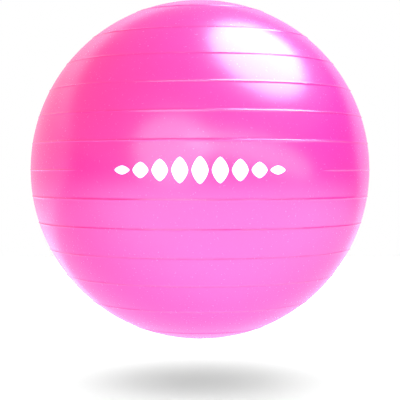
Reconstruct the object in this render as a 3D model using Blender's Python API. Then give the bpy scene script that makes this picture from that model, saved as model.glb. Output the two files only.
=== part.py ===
"""Exercise ball, 65 cm across, with a push-in valve plug at its top pole.

Metres, +Z up. The origin is the middle of the small flat patch that the ball rests on,
and -Y is the front, the side that carries the print.

Three pieces, as the real ball has:
  ball_skin    one-piece rotomoulded PVC skin with its moulded grip rings and parting line
  valve_seat   thicker PVC boss that is fused into the skin's opening and holds the plug
  valve_plug   push-in stopper, pulled out along +Z to pump the ball up or let it down
"""

import math

import bmesh
import bpy

# ---------------------------------------------------------------- driving dimensions
BALL_RADIUS = 0.325
SKIN_THICKNESS = 0.0009
REST_PATCH_RADIUS = 0.034  # about 14 N of ball on about 3.9 kPa of air
CENTRE_Z = math.sqrt(BALL_RADIUS**2 - REST_PATCH_RADIUS**2)

# Moulded rings: level ridges that lie one pitch of height apart, on both sides of the equator.
RING_PITCH = 0.050
RINGS_EACH_SIDE = 6
RING_HEIGHT = 0.0011
RING_FOOT_WIDTH = 0.0040
RING_CREST_WIDTH = 0.0012

# The mould's parting line runs round the equator. It is dressed flush on the printed front.
PARTING_HEIGHT = 0.0008
PARTING_FOOT_WIDTH = 0.0026
PARTING_CREST_WIDTH = 0.0008
PRINT_PANEL_HALF_ANGLE = math.radians(43)

# Valve, around the +Z axis. Depths count down from the top of the ball.
TOUCHING_GAP = 0.0003  # between two pieces that bear on each other
SEAT_COLLAR_RADIUS = 0.0110
SEAT_FLANGE_RADIUS = 0.0200
SEAT_FLANGE_RIM = 0.0007
SEAT_FACE_DEPTH = 0.0002
SEAT_LENGTH = 0.0182
BORE_RADIUS = 0.0039
PLUG_HEAD_RADIUS = 0.0079
PLUG_HEAD_THICKNESS = 0.0020
PLUG_LENGTH = 0.0196
PLUG_STEM_RADIUS = 0.00335
PLUG_TIP_RADIUS = 0.0027
PLUG_CORE_RADIUS = 0.0017
PLUG_CORE_DEPTH = 0.0045
PLUG_RIB_DEPTHS = (0.0060, 0.0092, 0.0124)
PLUG_RIB_WIDTH = 0.0014

SKIN_SEGMENTS = 40
LONGEST_FACET = 0.030
VALVE_SEGMENTS = 32
MERGE_DISTANCE = 1e-6
SHARP_EDGE_ANGLE = math.radians(35)


# ---------------------------------------------------------------- shared functions
def clear_scene():
    for thing in list(bpy.data.objects):
        bpy.data.objects.remove(thing, do_unlink=True)


def plain_material(name, colour, roughness):
    """A non-metallic Principled surface; colour is linear red, green, blue."""
    material = bpy.data.materials.new(name)
    material.use_nodes = True
    shader = material.node_tree.nodes["Principled BSDF"]
    shader.inputs["Base Color"].default_value = (*colour, 1.0)
    shader.inputs["Roughness"].default_value = roughness
    shader.inputs["Metallic"].default_value = 0.0
    return material


def turned_mesh(outline, segments):
    """Spins an outline of (radius, height) points about Z into a bmesh of one closed body.

    An outline that starts and ends on the axis stays open there; any other is a closed loop.
    """
    bm = bmesh.new()
    verts = [bm.verts.new((radius, 0.0, height)) for radius, height in outline]
    meets_axis = outline[0][0] == 0.0 and outline[-1][0] == 0.0
    ends = verts[1:] if meets_axis else verts[1:] + verts[:1]
    edges = [bm.edges.new(pair) for pair in zip(verts, ends)]
    bmesh.ops.spin(
        bm,
        geom=verts + edges,
        cent=(0.0, 0.0, 0.0),
        axis=(0.0, 0.0, 1.0),
        angle=2.0 * math.pi,
        steps=segments,
        use_merge=True,
    )
    bmesh.ops.remove_doubles(bm, verts=bm.verts, dist=MERGE_DISTANCE)
    bmesh.ops.recalc_face_normals(bm, faces=bm.faces)
    return bm


def add_piece(name, bm, material, location=(0.0, 0.0, 0.0), parent=None):
    mesh = bpy.data.meshes.new(name)
    bm.to_mesh(mesh)
    bm.free()
    mesh.shade_smooth()
    mesh.set_sharp_from_angle(angle=SHARP_EDGE_ANGLE)
    mesh.materials.append(material)
    piece = bpy.data.objects.new(name, mesh)
    piece.location = location
    piece.parent = parent
    bpy.context.scene.collection.objects.link(piece)
    return piece


# ---------------------------------------------------------------- ball skin
def sphere_point(radius, latitude):
    """(radius, height) on a sphere about the ball's centre."""
    return radius * math.cos(latitude), radius * math.sin(latitude)


def ring_profile(latitude, height, foot_width, crest_width):
    """The four outline points of one ridge, from its lower foot to its upper foot."""
    foot = 0.5 * foot_width / BALL_RADIUS
    crest = 0.5 * crest_width / BALL_RADIUS
    return [
        sphere_point(BALL_RADIUS, latitude - foot),
        sphere_point(BALL_RADIUS + height, latitude - crest),
        sphere_point(BALL_RADIUS + height, latitude + crest),
        sphere_point(BALL_RADIUS, latitude + foot),
    ]


def band_latitudes(low, high):
    """Latitudes strictly between two others, no further apart than LONGEST_FACET."""
    steps = math.ceil((high - low) * BALL_RADIUS / LONGEST_FACET)
    return [low + (high - low) * i / steps for i in range(1, steps)]


def skin_outline():
    """Outer wall from the rest patch up to the valve opening, then the inner wall back down."""
    opening = SEAT_COLLAR_RADIUS + TOUCHING_GAP
    inner_radius = BALL_RADIUS - SKIN_THICKNESS
    ring_latitudes = [
        math.asin(i * RING_PITCH / BALL_RADIUS)
        for i in range(-RINGS_EACH_SIDE, RINGS_EACH_SIDE + 1)
    ]
    patch_latitude = -math.acos(REST_PATCH_RADIUS / BALL_RADIUS)
    lip_latitude = math.acos(opening / BALL_RADIUS)
    inner_patch_latitude = -math.asin((CENTRE_Z - SKIN_THICKNESS) / inner_radius)
    inner_lip_latitude = math.acos(opening / inner_radius)

    outer = [(0.0, -CENTRE_Z), sphere_point(BALL_RADIUS, patch_latitude)]
    outer += [
        sphere_point(BALL_RADIUS, latitude)
        for latitude in band_latitudes(patch_latitude, ring_latitudes[0])
    ]
    for i, latitude in enumerate(ring_latitudes):
        if i == RINGS_EACH_SIDE:
            outer += ring_profile(
                latitude, PARTING_HEIGHT, PARTING_FOOT_WIDTH, PARTING_CREST_WIDTH
            )
        else:
            outer += ring_profile(
                latitude, RING_HEIGHT, RING_FOOT_WIDTH, RING_CREST_WIDTH
            )
        if i < 2 * RINGS_EACH_SIDE:
            outer += [
                sphere_point(BALL_RADIUS, middle)
                for middle in band_latitudes(latitude, ring_latitudes[i + 1])
            ]
    outer += [
        sphere_point(BALL_RADIUS, latitude)
        for latitude in band_latitudes(ring_latitudes[-1], lip_latitude)
    ]
    outer.append(sphere_point(BALL_RADIUS, lip_latitude))

    inner_latitudes = [inner_patch_latitude]
    inner_latitudes += band_latitudes(inner_patch_latitude, ring_latitudes[0])
    for i, latitude in enumerate(ring_latitudes[:-1]):
        inner_latitudes.append(latitude)
        inner_latitudes += band_latitudes(latitude, ring_latitudes[i + 1])
    inner_latitudes.append(ring_latitudes[-1])
    inner_latitudes += band_latitudes(ring_latitudes[-1], inner_lip_latitude)
    inner_latitudes.append(inner_lip_latitude)
    inner = [sphere_point(inner_radius, latitude) for latitude in inner_latitudes]
    inner.insert(0, (0.0, -CENTRE_Z + SKIN_THICKNESS))
    return outer + inner[::-1]


def dress_parting_line(bm):
    """Takes the parting line down flush with the ball across the printed front."""
    for vert in bm.verts:
        at_equator = abs(vert.co.z) < 0.5 * PARTING_FOOT_WIDTH
        azimuth = math.atan2(vert.co.x, -vert.co.y)
        if (
            at_equator
            and vert.co.length > BALL_RADIUS
            and abs(azimuth) < PRINT_PANEL_HALF_ANGLE
        ):
            vert.co.length = BALL_RADIUS


def make_ball_skin():
    bm = turned_mesh(skin_outline(), SKIN_SEGMENTS)
    dress_parting_line(bm)
    material = plain_material("rotomoulded PVC, pink", (0.93, 0.06, 0.27), 0.36)
    return add_piece("ball_skin", bm, material, location=(0.0, 0.0, CENTRE_Z))


# ---------------------------------------------------------------- valve
def below_skin(radius):
    """Height, from the top of the ball, of a surface that bears on the skin's inner wall."""
    bearing = BALL_RADIUS - SKIN_THICKNESS - TOUCHING_GAP
    return math.sqrt(bearing**2 - radius**2) - BALL_RADIUS


def seat_outline():
    """Bore, head recess, collar face, flange under the skin and the tapered tube inside."""
    recess_radius = PLUG_HEAD_RADIUS + TOUCHING_GAP
    recess_floor = -(SEAT_FACE_DEPTH + PLUG_HEAD_THICKNESS + TOUCHING_GAP)
    lead_in = 0.0005
    flange_middle = 0.5 * (SEAT_COLLAR_RADIUS + SEAT_FLANGE_RADIUS)
    hub_radius = 0.0115
    hub_depth = 0.0044
    tube_top_radius = 0.0088
    tube_top_depth = 0.0066
    tube_end_radius = 0.0070
    end_chamfer = 0.0006
    return [
        (BORE_RADIUS, recess_floor - lead_in),
        (BORE_RADIUS + lead_in, recess_floor),
        (recess_radius, recess_floor),
        (recess_radius, -SEAT_FACE_DEPTH),
        (SEAT_COLLAR_RADIUS, -SEAT_FACE_DEPTH),
        (SEAT_COLLAR_RADIUS, below_skin(SEAT_COLLAR_RADIUS)),
        (flange_middle, below_skin(flange_middle)),
        (SEAT_FLANGE_RADIUS, below_skin(SEAT_FLANGE_RADIUS)),
        (SEAT_FLANGE_RADIUS, below_skin(SEAT_FLANGE_RADIUS) - SEAT_FLANGE_RIM),
        (hub_radius, -hub_depth),
        (tube_top_radius, -tube_top_depth),
        (tube_end_radius, -(SEAT_LENGTH - end_chamfer)),
        (tube_end_radius - end_chamfer, -SEAT_LENGTH),
        (BORE_RADIUS, -SEAT_LENGTH),
    ]


def make_valve_seat(ball_skin):
    material = plain_material("moulded PVC boss, pink", (0.84, 0.05, 0.24), 0.45)
    return add_piece(
        "valve_seat",
        turned_mesh(seat_outline(), VALVE_SEGMENTS),
        material,
        location=(0.0, 0.0, BALL_RADIUS),
        parent=ball_skin,
    )


def plug_outline():
    """Low domed head, ribbed and tapered stem, and the core that is open at the inner end."""
    head_bottom = -(SEAT_FACE_DEPTH + PLUG_HEAD_THICKNESS)
    edge_radius = 0.0005
    shoulder_radius = 0.0057
    shoulder_depth = 0.00008
    rib_radius = BORE_RADIUS - TOUCHING_GAP
    rib_slope = 0.0004
    tip_chamfer = 0.0007
    outline = [
        (0.0, 0.0),
        (shoulder_radius, -shoulder_depth),
        (PLUG_HEAD_RADIUS - edge_radius, -SEAT_FACE_DEPTH),
        (PLUG_HEAD_RADIUS, -SEAT_FACE_DEPTH - edge_radius),
        (PLUG_HEAD_RADIUS, head_bottom + 0.5 * edge_radius),
        (PLUG_HEAD_RADIUS - 0.5 * edge_radius, head_bottom),
        (PLUG_STEM_RADIUS, head_bottom),
    ]
    for depth in PLUG_RIB_DEPTHS:
        half = 0.5 * PLUG_RIB_WIDTH
        outline += [
            (PLUG_STEM_RADIUS, -(depth - half)),
            (rib_radius, -(depth - half + rib_slope)),
            (rib_radius, -(depth + half - rib_slope)),
            (PLUG_STEM_RADIUS, -(depth + half)),
        ]
    outline += [
        (PLUG_TIP_RADIUS, -(PLUG_LENGTH - tip_chamfer)),
        (PLUG_TIP_RADIUS - 0.6 * tip_chamfer, -PLUG_LENGTH),
        (PLUG_CORE_RADIUS, -PLUG_LENGTH),
        (PLUG_CORE_RADIUS, -PLUG_CORE_DEPTH),
        (0.0, -PLUG_CORE_DEPTH),
    ]
    return outline


def make_valve_plug(valve_seat):
    """Its origin is on the axis that it is pulled out along."""
    material = plain_material("moulded polyethylene, white", (0.80, 0.80, 0.78), 0.40)
    return add_piece(
        "valve_plug",
        turned_mesh(plug_outline(), VALVE_SEGMENTS),
        material,
        parent=valve_seat,
    )


clear_scene()
skin = make_ball_skin()
seat = make_valve_seat(skin)
make_valve_plug(seat)
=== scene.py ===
import math

import bmesh
import bpy
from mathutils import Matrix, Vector


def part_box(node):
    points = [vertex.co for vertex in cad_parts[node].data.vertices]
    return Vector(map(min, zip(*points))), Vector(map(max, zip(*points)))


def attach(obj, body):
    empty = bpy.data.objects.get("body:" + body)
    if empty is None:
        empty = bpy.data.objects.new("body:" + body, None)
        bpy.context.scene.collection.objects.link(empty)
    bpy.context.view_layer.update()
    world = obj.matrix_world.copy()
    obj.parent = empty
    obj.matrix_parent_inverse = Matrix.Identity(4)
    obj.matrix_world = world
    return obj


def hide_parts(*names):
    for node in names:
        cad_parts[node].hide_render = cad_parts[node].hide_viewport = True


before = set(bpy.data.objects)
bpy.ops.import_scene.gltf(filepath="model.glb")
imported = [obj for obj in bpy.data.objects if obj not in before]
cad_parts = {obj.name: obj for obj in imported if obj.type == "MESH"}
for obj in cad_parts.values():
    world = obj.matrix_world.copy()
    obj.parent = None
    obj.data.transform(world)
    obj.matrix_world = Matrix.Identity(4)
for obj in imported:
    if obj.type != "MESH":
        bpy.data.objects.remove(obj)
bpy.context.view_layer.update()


# ============================================================ ball skin
# The ball itself is one seamless skin of plasticised PVC, 0.9 mm thick and coloured all
# through. It is rotomoulded in a two-part mould, so the raised grip rings and the fine
# parting line round the equator are one with it. The valve seat is fused into its top.

skin_low, skin_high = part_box("ball_skin")
plug_low, plug_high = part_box("valve_plug")
parting_height = 0.0008
ball_radius = (skin_high.x - skin_low.x) / 2 - parting_height
centre_height = plug_high.z - ball_radius
skin_thickness = 0.0009
valve_opening_radius = 0.0113
rings_each_side = 6
bands = 2 * (rings_each_side + 1)
columns_around = 256
rows_per_band = 22


def linear(code):
    """A linear colour with alpha from an sRGB hex code such as "ff8800"."""
    channels = [int(code[i : i + 2], 16) / 255 for i in (0, 2, 4)]
    return (
        *(c / 12.92 if c <= 0.04045 else ((c + 0.055) / 1.055) ** 2.4 for c in channels),
        1.0,
    )


def add(tree, kind, sockets=None, **settings):
    """Adds a node with its settings, and links its inputs to nodes or sets them to values."""
    node = tree.nodes.new(kind)
    for name, value in settings.items():
        setattr(node, name, value)
    for key, value in (sockets or {}).items():
        if isinstance(value, bpy.types.Node):
            value = value.outputs[0]
        if isinstance(value, bpy.types.NodeSocket):
            tree.links.new(value, node.inputs[key])
        else:
            node.inputs[key].default_value = value
    return node


def new_material(name):
    """A material and its empty node tree, which ends in one Principled surface."""
    material = bpy.data.materials.new(name)
    material.use_nodes = True
    tree = material.node_tree
    tree.nodes.clear()
    surface = add(tree, "ShaderNodeBsdfPrincipled")
    add(tree, "ShaderNodeOutputMaterial", {"Surface": surface})
    return material, tree, surface


def rotomoulded_pvc():
    """Rotomoulded PVC with a pearl pigment: a satin, slightly waxy gloss over a hot pink.

    The melt leaves a faint orange peel about 6 mm across, drawn coarser than the real one
    so that it shows. The pigment settles in soft clouds a hand wide. The ring crests are
    painted a deeper pink: painted shade for the dark lines along the rings.
    """
    cloud_width = 0.085
    fleck_width = 0.004
    peel_width = 0.006
    peel_depth = 0.0002
    material, tree, surface = new_material("rotomoulded PVC, pearl pink")
    place = add(tree, "ShaderNodeTexCoord").outputs["Object"]
    clouds = add(
        tree,
        "ShaderNodeTexNoise",
        {"Vector": place, "Scale": 1 / cloud_width, "Detail": 3.0, "Roughness": 0.55},
    )
    tint = add(
        tree,
        "ShaderNodeMix",
        {0: clouds.outputs[0], 6: linear("f82c74"), 7: linear("fb307a")},
        data_type="RGBA",
    )
    # The ring crests are mixed towards a darker pink: painted shade that stands in for the
    # dark lines the rings' flanks show.
    crest = add(tree, "ShaderNodeAttribute", attribute_name="crest").outputs["Fac"]
    crest_shade = add(tree, "ShaderNodeMath", {0: crest, 1: 0.6}, operation="MULTIPLY")
    colour = add(
        tree,
        "ShaderNodeMix",
        {0: crest_shade, 6: tint.outputs[2], 7: linear("d81f64")},
        data_type="RGBA",
    )
    flecks = add(
        tree,
        "ShaderNodeTexNoise",
        {"Vector": place, "Scale": 1 / fleck_width, "Detail": 2.0, "Roughness": 0.6},
    )
    gloss = add(
        tree,
        "ShaderNodeMapRange",
        {0: flecks.outputs[0], 1: 0.3, 2: 0.7, 3: 0.245, 4: 0.275},
    )
    peel = add(
        tree,
        "ShaderNodeTexNoise",
        {"Vector": place, "Scale": 1 / peel_width, "Detail": 3.0, "Roughness": 0.5},
    )
    skin_relief = add(
        tree,
        "ShaderNodeBump",
        {"Height": peel.outputs[0], "Strength": 0.06, "Distance": peel_depth},
    )
    tree.links.new(colour.outputs[2], surface.inputs["Base Color"])
    tree.links.new(gloss.outputs[0], surface.inputs["Roughness"])
    tree.links.new(skin_relief.outputs[0], surface.inputs["Normal"])
    surface.inputs["IOR"].default_value = 1.5
    surface.inputs["Specular IOR Level"].default_value = 0.76
    return material


def empty_geometry_tree(name, sizes):
    """A Geometry Nodes tree with a geometry output and one named input for each size."""
    tree = bpy.data.node_groups.new(name, "GeometryNodeTree")
    tree.interface.new_socket(
        "Geometry", in_out="OUTPUT", socket_type="NodeSocketGeometry"
    )
    for label, value in sizes.items():
        kind = "NodeSocketInt" if isinstance(value, int) else "NodeSocketFloat"
        tree.interface.new_socket(label, in_out="INPUT", socket_type=kind)
    return tree


def grow(name, tree, sizes):
    """Runs a Geometry Nodes tree with these sizes and returns its result as a plain mesh."""
    holder = bpy.data.objects.new(name, bpy.data.meshes.new(name))
    bpy.context.scene.collection.objects.link(holder)
    modifier = holder.modifiers.new("grow", "NODES")
    modifier.node_group = tree
    for socket in tree.interface.items_tree:
        if socket.in_out == "INPUT":
            modifier[socket.identifier] = sizes[socket.name]
    graph = bpy.context.evaluated_depsgraph_get()
    mesh = bpy.data.meshes.new_from_object(holder.evaluated_get(graph), depsgraph=graph)
    if mesh.materials[0] is None:  # the grid's own slot, which is empty
        mesh.materials.pop(index=0)
    holder.modifiers.clear()
    holder.data = mesh
    mesh.name = name
    return holder


def skin_tree(material, sizes):
    """The outer wall of the ball, from the valve opening down to the flat rest patch.

    A flat grid is wrapped round the ball. Its X is the azimuth from the front, and its Y
    climbs by one for each ring, with the rows drawn together where the rings are.
    """
    tree = empty_geometry_tree("ball skin", sizes)
    size = add(tree, "NodeGroupInput").outputs
    grid = add(
        tree,
        "GeometryNodeMeshGrid",
        {
            "Size X": math.tau,
            "Size Y": size["Bands"],
            "Vertices X": size["Columns"],
            "Vertices Y": size["Rows"],
        },
    )
    spot = add(tree, "ShaderNodeSeparateXYZ", {0: add(tree, "GeometryNodeInputPosition")})
    azimuth = spot.outputs["X"]
    climb = spot.outputs["Y"]

    # Where a row lies in its band, 0 to 1, crowded towards the rings at both ends.
    count = add(tree, "ShaderNodeMath", {0: climb}, operation="ABSOLUTE")
    band = add(tree, "ShaderNodeMath", {0: count}, operation="FLOOR")
    share = add(tree, "ShaderNodeMath", {0: count}, operation="FRACT")
    swing = add(
        tree, "ShaderNodeMath", {0: share, 1: 2.0, 2: -1.0}, operation="MULTIPLY_ADD"
    )
    side = add(tree, "ShaderNodeMath", {0: swing}, operation="SIGN")
    swing_size = add(tree, "ShaderNodeMath", {0: swing}, operation="ABSOLUTE")
    room = add(tree, "ShaderNodeMath", {0: 1.0, 1: swing_size}, operation="SUBTRACT")
    shrunk = add(
        tree, "ShaderNodeMath", {0: room, 1: size["Crowding"]}, operation="POWER"
    )
    reach = add(tree, "ShaderNodeMath", {0: 1.0, 1: shrunk}, operation="SUBTRACT")
    signed_reach = add(tree, "ShaderNodeMath", {0: side, 1: reach}, operation="MULTIPLY")
    crowded = add(
        tree,
        "ShaderNodeMath",
        {0: signed_reach, 1: 0.5, 2: 0.5},
        operation="MULTIPLY_ADD",
    )

    # The rings are level steps of height, so their latitudes are arc sines.
    step = add(
        tree,
        "ShaderNodeMath",
        {0: size["Ring Pitch"], 1: size["Ball Radius"]},
        operation="DIVIDE",
    )
    band_ends = []
    for rings_up in (0.0, 1.0):
        ring = add(tree, "ShaderNodeMath", {0: band, 1: rings_up}, operation="ADD")
        sine = add(tree, "ShaderNodeMath", {0: ring, 1: step}, operation="MULTIPLY")
        capped = add(tree, "ShaderNodeMath", {0: sine, 1: 1.0}, operation="MINIMUM")
        band_ends.append(add(tree, "ShaderNodeMath", {0: capped}, operation="ARCSINE"))
    from_equator = add(
        tree, "ShaderNodeMapRange", {0: crowded, 3: band_ends[0], 4: band_ends[1]}
    )
    half = add(tree, "ShaderNodeMath", {0: climb}, operation="SIGN")
    unlipped = add(
        tree, "ShaderNodeMath", {0: from_equator, 1: half}, operation="MULTIPLY"
    )
    latitude = add(
        tree,
        "ShaderNodeMath",
        {0: unlipped, 1: size["Lip Latitude"]},
        operation="MINIMUM",
    )

    # The nearest ring, and how far the surface is from its slightly wandering crest.
    sine = add(tree, "ShaderNodeMath", {0: latitude}, operation="SINE")
    cosine = add(tree, "ShaderNodeMath", {0: latitude}, operation="COSINE")
    rings_off = add(tree, "ShaderNodeMath", {0: sine, 1: step}, operation="DIVIDE")
    nearest = add(tree, "ShaderNodeMath", {0: rings_off}, operation="ROUND")
    ring = add(
        tree,
        "ShaderNodeClamp",
        {0: nearest, 1: -float(rings_each_side), 2: float(rings_each_side)},
    )
    ring_sine = add(tree, "ShaderNodeMath", {0: ring, 1: step}, operation="MULTIPLY")
    ring_latitude = add(tree, "ShaderNodeMath", {0: ring_sine}, operation="ARCSINE")
    turn_sine = add(tree, "ShaderNodeMath", {0: azimuth}, operation="SINE")
    turn_cosine = add(tree, "ShaderNodeMath", {0: azimuth}, operation="COSINE")
    along_ring = add(
        tree, "ShaderNodeCombineXYZ", {0: turn_sine, 1: turn_cosine, 2: ring}
    )
    wander = add(
        tree,
        "ShaderNodeTexNoise",
        {"Vector": along_ring, "Scale": size["Waves"], "Detail": 2.0},
    )
    drift = add(
        tree,
        "ShaderNodeMapRange",
        {
            0: wander,
            1: 0.25,
            2: 0.75,
            3: size["Least Drift"],
            4: size["Most Drift"],
        },
    )
    gap = add(
        tree, "ShaderNodeMath", {0: latitude, 1: ring_latitude}, operation="SUBTRACT"
    )
    drifted = add(
        tree,
        "ShaderNodeMath",
        {0: gap, 1: size["Ball Radius"], 2: drift},
        operation="MULTIPLY_ADD",
    )
    away = add(tree, "ShaderNodeMath", {0: drifted}, operation="ABSOLUTE")

    # A ridge stands on each ring. At the equator it is the finer parting line, which is
    # dressed flush across the printed front.
    at_equator = add(
        tree, "ShaderNodeMath", {0: ring, 1: 0.0, 2: 0.5}, operation="COMPARE"
    )
    off_front = add(tree, "ShaderNodeMath", {0: azimuth}, operation="ABSOLUTE")
    dressed = add(
        tree,
        "ShaderNodeMapRange",
        {
            0: off_front,
            1: size["Panel Angle"],
            2: size["Panel End"],
            4: size["Parting Height"],
        },
        interpolation_type="SMOOTHSTEP",
    )
    cooled = add(
        tree,
        "ShaderNodeTexNoise",
        {"Vector": along_ring, "Scale": size["Nicks"], "Detail": 3.0},
    )
    uneven = add(
        tree,
        "ShaderNodeMapRange",
        {0: cooled, 1: 0.3, 2: 0.7, 3: size["Low Ring"], 4: size["Ring Height"]},
    )
    height = add(
        tree,
        "GeometryNodeSwitch",
        {"Switch": at_equator, "False": uneven, "True": dressed},
        input_type="FLOAT",
    )
    half_width = add(
        tree,
        "GeometryNodeSwitch",
        {
            "Switch": at_equator,
            "False": size["Ring Half Width"],
            "True": size["Parting Half Width"],
        },
        input_type="FLOAT",
    )
    ridge = add(
        tree,
        "ShaderNodeMapRange",
        {0: away, 1: 0.0, 2: half_width, 3: height, 4: 0.0},
        interpolation_type="SMOOTHSTEP",
    )

    # Wrapped round the ball, and pressed flat on the rest patch under it.
    radius = add(
        tree, "ShaderNodeMath", {0: ridge, 1: size["Ball Radius"]}, operation="ADD"
    )
    level = add(tree, "ShaderNodeMath", {0: radius, 1: cosine}, operation="MULTIPLY")
    rise = add(
        tree,
        "ShaderNodeMath",
        {0: radius, 1: sine, 2: size["Centre Height"]},
        operation="MULTIPLY_ADD",
    )
    flattened = add(
        tree,
        "ShaderNodeMath",
        {0: rise, 1: 0.0, 2: size["Patch Softness"]},
        operation="SMOOTH_MAX",
    )
    across = add(tree, "ShaderNodeMath", {0: level, 1: turn_sine}, operation="MULTIPLY")
    ahead = add(tree, "ShaderNodeMath", {0: level, 1: turn_cosine}, operation="MULTIPLY")
    behind = add(tree, "ShaderNodeMath", {0: ahead, 1: -1.0}, operation="MULTIPLY")
    wrapped = add(tree, "ShaderNodeCombineXYZ", {0: across, 1: behind, 2: flattened})
    # How far up its ridge each point stands, kept as "crest" for the painted shade that
    # darkens the ring crests in the skin's material.
    crest = add(
        tree, "ShaderNodeMath", {0: ridge, 1: size["Ring Height"]}, operation="DIVIDE"
    )
    marked = add(
        tree,
        "GeometryNodeStoreNamedAttribute",
        {"Geometry": grid, "Name": "crest", "Value": crest},
        data_type="FLOAT",
        domain="POINT",
    )
    ball = add(
        tree, "GeometryNodeSetPosition", {"Geometry": marked, "Position": wrapped}
    )
    closed = add(
        tree, "GeometryNodeMergeByDistance", {"Geometry": ball, "Distance": 5e-6}
    )
    plain = add(tree, "GeometryNodeRealizeInstances", {"Geometry": closed})
    finished = add(
        tree, "GeometryNodeSetMaterial", {"Geometry": plain, "Material": material}
    )
    add(tree, "NodeGroupOutput", {"Geometry": finished})
    return tree


def turned(outline, segments):
    """A bmesh of an outline of (radius, height) points spun about Z.

    An outline whose two ends meet stays a ring; any other is left open at its ends.
    """
    bm = bmesh.new()
    verts = [bm.verts.new((radius, 0.0, height)) for radius, height in outline]
    edges = [bm.edges.new(pair) for pair in zip(verts, verts[1:])]
    bmesh.ops.spin(
        bm,
        geom=verts + edges,
        cent=(0.0, 0.0, 0.0),
        axis=(0.0, 0.0, 1.0),
        angle=math.tau,
        steps=segments,
        use_merge=True,
    )
    bmesh.ops.remove_doubles(bm, verts=bm.verts, dist=1e-6)
    return bm


def inner_wall():
    """The lip of the valve opening and the inside of the skin, down to the rest patch."""
    inner_radius = ball_radius - skin_thickness
    lip = math.sqrt(ball_radius**2 - valve_opening_radius**2)
    start = math.acos(valve_opening_radius / inner_radius)
    end = -math.asin((centre_height - skin_thickness) / inner_radius)
    rows = 40
    outline = [(valve_opening_radius, centre_height + lip)]
    for i in range(rows + 1):
        latitude = start + (end - start) * i / rows
        outline.append(
            (
                inner_radius * math.cos(latitude),
                inner_radius * math.sin(latitude) + centre_height,
            )
        )
    outline.append((0.0, skin_thickness))
    return turned(outline, columns_around)


skin_sizes = {
    "Ball Radius": ball_radius,
    "Centre Height": centre_height,
    "Ring Pitch": 0.050,
    "Bands": float(bands),
    "Columns": columns_around + 1,
    "Rows": bands * rows_per_band + 1,
    "Crowding": 2.3,
    "Lip Latitude": math.acos(valve_opening_radius / ball_radius),
    "Ring Height": 0.0011,
    "Low Ring": 0.0006,
    "Ring Half Width": 0.0021,
    "Parting Height": parting_height,
    "Parting Half Width": 0.0013,
    "Panel Angle": math.radians(40),
    "Panel End": math.radians(46),
    "Patch Softness": 0.0006,
    "Waves": 5.0,
    "Nicks": 14.0,
    "Least Drift": -0.0004,
    "Most Drift": 0.0004,
}
pearl_pvc = rotomoulded_pvc()
ball = grow("ball", skin_tree(pearl_pvc, skin_sizes), skin_sizes)
whole_skin = inner_wall()
whole_skin.from_mesh(ball.data)
# The two walls have the same columns, so they join at the lip of the valve opening.
bmesh.ops.remove_doubles(whole_skin, verts=whole_skin.verts, dist=1e-5)
bmesh.ops.recalc_face_normals(whole_skin, faces=whole_skin.faces)
whole_skin.to_mesh(ball.data)
whole_skin.free()
ball.data.shade_smooth()
ball.data.set_sharp_from_angle(angle=math.radians(60))
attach(ball, "ball")
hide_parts("ball_skin")


# ============================================================ valve seat
# A thicker boss of the same PVC, injection moulded and then set in the ball's mould, so
# that the skin fuses round its collar. Its flange lies under the skin, and its tube
# reaches inwards.

seat_low, seat_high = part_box("valve_seat")
ball_top = centre_height + ball_radius
valve_segments = 96


def rounded(corners, steps=4):
    """An outline from (radius, height, rounding) corners, each rounded by a short curve."""
    points = []
    for i, (radius, height, rounding) in enumerate(corners):
        here = Vector((radius, height))
        if rounding == 0.0:
            points.append(here)
            continue
        before = Vector(corners[i - 1][:2])
        after = Vector(corners[(i + 1) % len(corners)][:2])
        start = here + (before - here).normalized() * rounding
        end = here + (after - here).normalized() * rounding
        for k in range(steps + 1):
            t = k / steps
            points.append(start * (1 - t) ** 2 + here * 2 * t * (1 - t) + end * t**2)
    return points


def turned_piece(name, outline, material):
    """A small round piece, turned about the ball's axis from its outline."""
    bm = turned(outline, valve_segments)
    bmesh.ops.recalc_face_normals(bm, faces=bm.faces)
    mesh = bpy.data.meshes.new(name)
    bm.to_mesh(mesh)
    bm.free()
    mesh.shade_smooth()
    mesh.set_sharp_from_angle(angle=math.radians(40))
    mesh.materials.append(material)
    piece = bpy.data.objects.new(name, mesh)
    bpy.context.scene.collection.objects.link(piece)
    return piece


def moulded_pvc():
    """Injection moulded soft PVC: a pink like the ball's, flow marked, in a duller satin."""
    flow_width = 0.006
    grain_width = 0.0005
    material, tree, surface = new_material("injection moulded PVC, pink")
    place = add(tree, "ShaderNodeTexCoord").outputs["Object"]
    flow = add(
        tree,
        "ShaderNodeTexNoise",
        {"Vector": place, "Scale": 1 / flow_width, "Detail": 3.0},
    )
    tint = add(
        tree,
        "ShaderNodeMix",
        {0: flow.outputs[0], 6: linear("e8307c"), 7: linear("f03884")},
        data_type="RGBA",
    )
    grain = add(
        tree,
        "ShaderNodeTexNoise",
        {"Vector": place, "Scale": 1 / grain_width, "Detail": 2.0},
    )
    relief = add(
        tree,
        "ShaderNodeBump",
        {"Height": grain.outputs[0], "Strength": 0.3, "Distance": 0.00004},
    )
    tree.links.new(tint.outputs[2], surface.inputs["Base Color"])
    tree.links.new(relief.outputs[0], surface.inputs["Normal"])
    surface.inputs["Roughness"].default_value = 0.42
    surface.inputs["IOR"].default_value = 1.5
    return material


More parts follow.
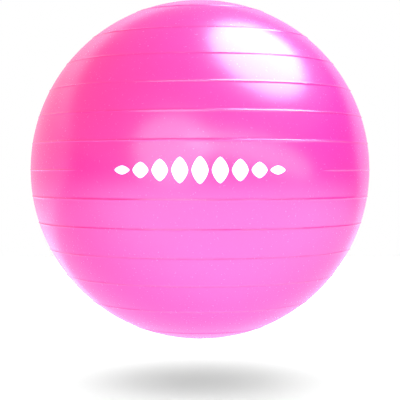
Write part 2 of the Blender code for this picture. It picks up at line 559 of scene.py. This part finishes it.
def seat_outline():
    """The bore, the recess for the plug's head, the collar, the flange and the tube."""
    bore = 0.0039
    recess = 0.0082
    collar = 0.0110
    flange = seat_high.x
    flange_thickness = 0.0007
    root = 0.0115
    tube = 0.0088
    tip = 0.0070
    face = ball_top - 0.0002
    recess_floor = ball_top - 0.0025
    root_level = ball_top - 0.0044
    tube_level = ball_top - 0.0066
    bottom = seat_low.z
    bearing = ball_radius - skin_thickness - 0.0003

    def under_skin(radius):
        return centre_height + math.sqrt(bearing**2 - radius**2)

    middle = (collar + flange) / 2
    corners = [
        (bore, recess_floor, 0.0005),
        (recess, recess_floor, 0.0002),
        (recess, face, 0.0003),
        (collar, face, 0.0002),
        (collar, under_skin(collar), 0.0),
        (middle, under_skin(middle), 0.0),
        (flange, under_skin(flange), 0.0002),
        (flange, under_skin(flange) - flange_thickness, 0.0002),
        (root, root_level, 0.0015),
        (tube, tube_level, 0.0010),
        (tip, bottom, 0.0006),
        (bore, bottom, 0.0004),
    ]
    points = rounded(corners)
    return points + points[:1]


seat = turned_piece("valve_boss", seat_outline(), moulded_pvc())
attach(seat, "ball")
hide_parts("valve_seat")


# ============================================================ valve plug
# A milky polyethylene stopper. Its flat head lies flush in the seat, and the three ribs
# on its hollow stem seal in the bore. It is pushed in by thumb and prised out.

head_radius = plug_high.x


def moulded_polyethylene():
    """Injection moulded natural polyethylene: milky, waxy, and clouded by its flow."""
    haze_width = 0.003
    material, tree, surface = new_material("injection moulded polyethylene, milky")
    place = add(tree, "ShaderNodeTexCoord").outputs["Object"]
    haze = add(
        tree,
        "ShaderNodeTexNoise",
        {"Vector": place, "Scale": 1 / haze_width, "Detail": 3.0},
    )
    tint = add(
        tree,
        "ShaderNodeMix",
        {0: haze.outputs[0], 6: linear("a3a29d"), 7: linear("b1b0ab")},
        data_type="RGBA",
    )
    relief = add(
        tree,
        "ShaderNodeBump",
        {"Height": haze.outputs[0], "Strength": 0.5, "Distance": 0.00006},
    )
    tree.links.new(tint.outputs[2], surface.inputs["Base Color"])
    tree.links.new(relief.outputs[0], surface.inputs["Normal"])
    surface.inputs["Roughness"].default_value = 0.38
    surface.inputs["IOR"].default_value = 1.51
    return material


def plug_outline():
    """Low domed head, tapered stem with three ribs, and the core open at its inner end."""
    shoulder = 0.72 * head_radius
    stem = 0.00335
    rib = 0.0036
    rib_half_foot = 0.0007
    rib_half_crest = 0.0004
    tip = 0.0027
    core = 0.0017
    head_bottom = ball_top - 0.0022
    core_end = ball_top - 0.0045
    corners = [
        (0.0, ball_top, 0.0),
        (shoulder, ball_top - 0.00008, 0.0005),
        (head_radius, ball_top - 0.0003, 0.0005),
        (head_radius, head_bottom, 0.0003),
        (stem, head_bottom, 0.0004),
    ]
    for depth in (0.0060, 0.0092, 0.0124):
        rib_level = ball_top - depth
        corners += [
            (stem, rib_level + rib_half_foot, 0.0),
            (rib, rib_level + rib_half_crest, 0.0002),
            (rib, rib_level - rib_half_crest, 0.0002),
            (stem, rib_level - rib_half_foot, 0.0),
        ]
    corners += [
        (tip, plug_low.z, 0.0006),
        (core, plug_low.z, 0.0002),
        (core, core_end, 0.0004),
        (0.0, core_end, 0.0),
    ]
    return rounded(corners)


plug = turned_piece("stopper", plug_outline(), moulded_polyethylene())
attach(plug, "plug")
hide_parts("valve_plug")


# ============================================================ print
# A plain ornament in white vinyl ink, pad printed across the front between two rings: a
# row of rounded lozenges that swell towards the middle. The ink is a film that keys into
# the skin and follows the ball.


def pad_printed_ink():
    """Pad printed white vinyl ink: dense and even, a little flatter than the skin."""
    cover_width = 0.012
    material, tree, surface = new_material("pad printed vinyl ink, white")
    place = add(tree, "ShaderNodeTexCoord").outputs["Object"]
    cover = add(
        tree,
        "ShaderNodeTexNoise",
        {"Vector": place, "Scale": 1 / cover_width, "Detail": 4.0, "Roughness": 0.6},
    )
    tint = add(
        tree,
        "ShaderNodeMix",
        {0: cover.outputs[0], 6: linear("f6eef3"), 7: linear("fdfbfc")},
        data_type="RGBA",
    )
    tree.links.new(tint.outputs[2], surface.inputs["Base Color"])
    surface.inputs["Roughness"].default_value = 0.45
    surface.inputs["IOR"].default_value = 1.48
    return material


def print_tree(material, sizes):
    """A row of lozenges, each a polar grid, wrapped on the ball and drawn out to a film."""
    tree = empty_geometry_tree("print", sizes)
    size = add(tree, "NodeGroupInput").outputs
    row = add(
        tree,
        "GeometryNodeMeshLine",
        {
            "Count": size["Lozenges"],
            "Start Location": (0.0, 0.0, 0.0),
            "Offset": (1.0, 0.0, 0.0),
        },
    )
    disc = add(
        tree,
        "GeometryNodeMeshGrid",
        {
            "Size X": math.tau,
            "Size Y": 1.0,
            "Vertices X": size["Edge Points"],
            "Vertices Y": size["Ring Points"],
        },
    )
    polar = add(
        tree, "ShaderNodeSeparateXYZ", {0: add(tree, "GeometryNodeInputPosition")}
    )
    turn_cosine = add(tree, "ShaderNodeMath", {0: polar.outputs[0]}, operation="COSINE")
    turn_sine = add(tree, "ShaderNodeMath", {0: polar.outputs[0]}, operation="SINE")
    outward = add(
        tree, "ShaderNodeMath", {0: 0.5, 1: polar.outputs[1]}, operation="SUBTRACT"
    )

    # The outline is a superellipse, between a lozenge (1) and an ellipse (2).
    powers = []
    for part in (turn_cosine, turn_sine):
        magnitude = add(tree, "ShaderNodeMath", {0: part}, operation="ABSOLUTE")
        powers.append(
            add(
                tree,
                "ShaderNodeMath",
                {0: magnitude, 1: size["Fullness"]},
                operation="POWER",
            )
        )
    total = add(
        tree, "ShaderNodeMath", {0: powers[0], 1: powers[1]}, operation="ADD"
    )
    inverse = add(
        tree, "ShaderNodeMath", {0: -1.0, 1: size["Fullness"]}, operation="DIVIDE"
    )
    edge = add(tree, "ShaderNodeMath", {0: total, 1: inverse}, operation="POWER")
    radius = add(tree, "ShaderNodeMath", {0: edge, 1: outward}, operation="MULTIPLY")
    flat_x = add(
        tree, "ShaderNodeMath", {0: turn_cosine, 1: radius}, operation="MULTIPLY"
    )
    flat_y = add(
        tree, "ShaderNodeMath", {0: turn_sine, 1: radius}, operation="MULTIPLY"
    )
    unit = add(tree, "ShaderNodeCombineXYZ", {0: flat_x, 1: flat_y})
    lozenge = add(
        tree, "GeometryNodeSetPosition", {"Geometry": disc, "Position": unit}
    )
    whole = add(
        tree, "GeometryNodeMergeByDistance", {"Geometry": lozenge, "Distance": 1e-5}
    )

    # Every lozenge is as wide; the middle one is the tallest.
    index = add(tree, "GeometryNodeInputIndex")
    last = add(
        tree, "ShaderNodeMath", {0: size["Lozenges"], 1: 1.0}, operation="SUBTRACT"
    )
    along = add(tree, "ShaderNodeMath", {0: index, 1: last}, operation="DIVIDE")
    angle = add(
        tree, "ShaderNodeMath", {0: along, 1: math.pi}, operation="MULTIPLY"
    )
    swell = add(tree, "ShaderNodeMath", {0: angle}, operation="SINE")
    tall = add(
        tree,
        "ShaderNodeMapRange",
        {0: swell, 3: size["Least Half Height"], 4: size["Most Half Height"]},
    )
    stretch = add(tree, "ShaderNodeCombineXYZ", {0: size["Half Width"], 1: tall, 2: 1.0})
    shift = add(
        tree,
        "ShaderNodeMath",
        {0: along, 1: 0.5},
        operation="SUBTRACT",
    )
    span = add(tree, "ShaderNodeMath", {0: size["Pitch"], 1: last}, operation="MULTIPLY")
    spot_x = add(tree, "ShaderNodeMath", {0: shift, 1: span}, operation="MULTIPLY")
    spot = add(tree, "ShaderNodeCombineXYZ", {0: spot_x})
    placed = add(
        tree, "GeometryNodeSetPosition", {"Geometry": row, "Position": spot}
    )
    repeated = add(
        tree,
        "GeometryNodeInstanceOnPoints",
        {"Points": placed, "Instance": whole, "Scale": stretch},
    )
    flat = add(tree, "GeometryNodeRealizeInstances", {"Geometry": repeated})

    # Distances along the ball become angles, and the film is drawn out from the skin.
    paper = add(
        tree, "ShaderNodeSeparateXYZ", {0: add(tree, "GeometryNodeInputPosition")}
    )
    azimuth = add(
        tree,
        "ShaderNodeMath",
        {0: paper.outputs[0], 1: size["Ball Radius"]},
        operation="DIVIDE",
    )
    latitude = add(
        tree,
        "ShaderNodeMath",
        {0: paper.outputs[1], 1: size["Ball Radius"]},
        operation="DIVIDE",
    )
    latitude_cosine = add(tree, "ShaderNodeMath", {0: latitude}, operation="COSINE")
    latitude_sine = add(tree, "ShaderNodeMath", {0: latitude}, operation="SINE")
    azimuth_sine = add(tree, "ShaderNodeMath", {0: azimuth}, operation="SINE")
    azimuth_cosine = add(tree, "ShaderNodeMath", {0: azimuth}, operation="COSINE")
    right = add(
        tree,
        "ShaderNodeMath",
        {0: latitude_cosine, 1: azimuth_sine},
        operation="MULTIPLY",
    )
    ahead = add(
        tree,
        "ShaderNodeMath",
        {0: latitude_cosine, 1: azimuth_cosine},
        operation="MULTIPLY",
    )
    back = add(tree, "ShaderNodeMath", {0: ahead, 1: -1.0}, operation="MULTIPLY")
    outwards = add(tree, "ShaderNodeCombineXYZ", {0: right, 1: back, 2: latitude_sine})
    sunk_radius = add(
        tree,
        "ShaderNodeMath",
        {0: size["Ball Radius"], 1: size["Keyed In"]},
        operation="SUBTRACT",
    )
    sunk = add(
        tree,
        "ShaderNodeVectorMath",
        {0: outwards, "Scale": sunk_radius},
        operation="SCALE",
    )
    centre = add(tree, "ShaderNodeCombineXYZ", {2: size["Centre Height"]})
    on_skin = add(tree, "ShaderNodeVectorMath", {0: sunk, 1: centre}, operation="ADD")
    film_back = add(
        tree, "GeometryNodeSetPosition", {"Geometry": flat, "Position": on_skin}
    )
    thickness = add(
        tree, "ShaderNodeMath", {0: size["Film"], 1: size["Keyed In"]}, operation="ADD"
    )
    film_front = add(
        tree,
        "GeometryNodeExtrudeMesh",
        {"Mesh": film_back, "Offset Scale": thickness, "Individual": False},
        mode="FACES",
    )
    turned_back = add(tree, "GeometryNodeFlipFaces", {"Mesh": film_back})
    both = add(tree, "GeometryNodeJoinGeometry", {"Geometry": film_front})
    tree.links.new(turned_back.outputs[0], both.inputs[0])
    closed = add(
        tree, "GeometryNodeMergeByDistance", {"Geometry": both, "Distance": 2e-6}
    )
    plain = add(tree, "GeometryNodeRealizeInstances", {"Geometry": closed})
    finished = add(
        tree, "GeometryNodeSetMaterial", {"Geometry": plain, "Material": material}
    )
    add(tree, "NodeGroupOutput", {"Geometry": finished})
    return tree


print_sizes = {
    "Ball Radius": ball_radius,
    "Centre Height": centre_height,
    "Lozenges": 9,
    "Edge Points": 49,
    "Ring Points": 9,
    "Pitch": 0.0335,
    "Half Width": 0.0140,
    "Least Half Height": 0.0075,
    "Most Half Height": 0.0230,
    "Fullness": 1.45,
    "Keyed In": 0.00004,
    "Film": 0.00005,
}
ornament = grow("print", print_tree(pad_printed_ink(), print_sizes), print_sizes)
ornament.data.shade_smooth()
ornament.data.set_sharp_from_angle(angle=math.radians(40))
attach(ornament, "ball")


# ============================================================ studio
# A white studio with the ball held up a hand's breadth over a pale floor. A large softbox
# hangs above on the right, a smaller one and a long strip stand in front, a lit wall is
# behind and a soft fill above, and the world stands for a bright table all below. The
# floor has its own dome light, and neither the floor nor the ball lights the other.

scene = bpy.context.scene
floor_drop = 0.088
ball_centre = Vector((0.0, 0.0, centre_height))


def studio_collection(name, members):
    """A collection that some of the lights are kept to."""
    collection = bpy.data.collections.new(name)
    scene.collection.children.link(collection)
    for member in members:
        collection.objects.link(member)
    return collection


def make_floor(reach):
    """A matt white square that shows from above and is clear from below."""
    material, tree, surface = new_material("white studio floor")
    surface.inputs["Base Color"].default_value = linear("e8e8e8")
    surface.inputs["Roughness"].default_value = 0.9
    surface.inputs["Specular IOR Level"].default_value = 0.0
    from_below = add(tree, "ShaderNodeNewGeometry").outputs["Backfacing"]
    clear = add(tree, "ShaderNodeBsdfTransparent")
    one_sided = add(tree, "ShaderNodeMixShader", {0: from_below, 1: surface, 2: clear})
    output = tree.nodes["Material Output"]
    tree.links.new(one_sided.outputs[0], output.inputs["Surface"])
    mesh = bpy.data.meshes.new("floor")
    corners = [(-reach, -reach), (reach, -reach), (reach, reach), (-reach, reach)]
    mesh.from_pydata([(x, y, -floor_drop) for x, y in corners], [], [(0, 1, 2, 3)])
    mesh.materials.append(material)
    floor = bpy.data.objects.new("floor", mesh)
    scene.collection.objects.link(floor)
    # The ball neither mirrors the floor nor loses the table's light to it.
    floor.visible_diffuse = False
    floor.visible_glossy = False
    floor.visible_shadow = False
    return floor


def softbox(name, azimuth, elevation, width, height, turn, radiance, colour, lights):
    """An oval softbox that faces the ball and lights only one collection.

    Its azimuth runs to the right from the camera, and its width and height are the angles
    that it fills as seen from the ball, all in degrees.
    """
    distance = 2.2
    aside = math.radians(azimuth)
    climb = math.radians(elevation)
    away = Vector(
        (
            math.cos(climb) * math.sin(aside),
            -math.cos(climb) * math.cos(aside),
            math.sin(climb),
        )
    )
    data = bpy.data.lights.new(name, "AREA")
    data.shape = "ELLIPSE"
    data.size = 2 * distance * math.tan(math.radians(width / 2))
    data.size_y = 2 * distance * math.tan(math.radians(height / 2))
    data.energy = radiance * math.pi * (math.pi / 4 * data.size * data.size_y)
    data.color = colour
    lamp = bpy.data.objects.new(name, data)
    lamp.location = ball_centre + away * distance
    lamp.rotation_euler = (-away).to_track_quat("-Z", "Y").to_euler()
    lamp.rotation_euler.rotate_axis("Z", math.radians(turn))
    lamp.visible_camera = False
    scene.collection.objects.link(lamp)
    lamp.light_linking.receiver_collection = lights
    return lamp


floor = make_floor(reach=3.0)
# The ball throws no pink light on the floor.
for piece in (ball, seat, plug, ornament):
    piece.visible_diffuse = False
ball_pieces = studio_collection("lit by the softboxes", [ball, seat, plug, ornament])
floor_only = studio_collection("lit by the dome", [floor])
# A little more blue than white in most of the lights brings out the pearl's violet sheen.
softbox(
    "key", azimuth=84.5, elevation=62.0, width=54.0, height=45.0, turn=30.0,
    radiance=12.3, colour=(1.0, 0.95, 1.3), lights=ball_pieces,
)
softbox(
    "front", azimuth=-17.0, elevation=13.0, width=46.0, height=40.0, turn=0.0,
    radiance=3.4, colour=(1.0, 1.0, 1.15), lights=ball_pieces,
)
softbox(
    "strip", azimuth=33.0, elevation=11.0, width=84.0, height=16.0, turn=-15.0,
    radiance=3.7, colour=(1.0, 1.0, 1.0), lights=ball_pieces,
)
softbox(
    "wall", azimuth=197.0, elevation=10.0, width=142.0, height=70.0, turn=0.0,
    radiance=1.0, colour=(0.98, 0.86, 1.1), lights=ball_pieces,
)
softbox(
    "fill", azimuth=-20.0, elevation=74.0, width=150.0, height=150.0, turn=0.0,
    radiance=0.4, colour=(1.0, 1.0, 1.1), lights=ball_pieces,
)
dome = softbox(
    "dome", azimuth=0.0, elevation=90.0, width=155.0, height=155.0, turn=0.0,
    radiance=2.35, colour=(1.0, 1.0, 1.0), lights=floor_only,
)
# The floor's own rays pass through the ball, so only shadow rays may look for the dome.
dome.data.cycles.use_multiple_importance_sampling = False


def studio_world():
    """White to the camera; to the ball a bright table all below it, brightest in front."""
    brightest_way = (0.3, -0.95, 0.0)
    table_behind = 1.1
    table_in_front = 3.0
    table_colour = (1.0, 1.0, 1.45, 1.0)
    world = bpy.data.worlds.new("studio")
    world.use_nodes = True
    tree = world.node_tree
    tree.nodes.clear()
    direction = add(tree, "ShaderNodeTexCoord").outputs["Generated"]
    axes = add(tree, "ShaderNodeSeparateXYZ", {0: direction})
    facing = add(
        tree,
        "ShaderNodeVectorMath",
        {0: direction, 1: brightest_way},
        operation="DOT_PRODUCT",
    )
    # The table is dimmer behind the ball and brighter in front of it.
    table = add(
        tree,
        "ShaderNodeMapRange",
        {
            0: facing.outputs["Value"],
            1: -0.5,
            2: 0.6,
            3: table_behind,
            4: table_in_front,
        },
        interpolation_type="SMOOTHSTEP",
    )
    # Its far edge fades out over the 17 degrees just under the horizon.
    lit = add(
        tree,
        "ShaderNodeMapRange",
        {0: axes.outputs["Z"], 1: -0.30, 2: 0.0, 3: table, 4: 0.0},
        interpolation_type="SMOOTHSTEP",
    )
    room = add(tree, "ShaderNodeBackground", {"Color": table_colour, "Strength": lit})
    seen = add(tree, "ShaderNodeBackground", {"Color": (1.0, 1.0, 1.0, 1.0)})
    to_camera = add(tree, "ShaderNodeLightPath").outputs["Is Camera Ray"]
    either = add(tree, "ShaderNodeMixShader", {0: to_camera, 1: room, 2: seen})
    add(tree, "ShaderNodeOutputWorld", {"Surface": either})
    return world


scene.world = studio_world()

camera_distance = 6.5 * ball_radius
look_down = 1.58
camera_data = bpy.data.cameras.new("camera")
camera_data.sensor_width = 36.0
camera_data.lens = 97.9
camera = bpy.data.objects.new("camera", camera_data)
camera.location = (0.0, -camera_distance, centre_height)
camera.rotation_euler = (math.radians(90.0 - look_down), 0.0, 0.0)
scene.collection.objects.link(camera)
scene.camera = camera
scene.view_settings.view_transform = "Standard"
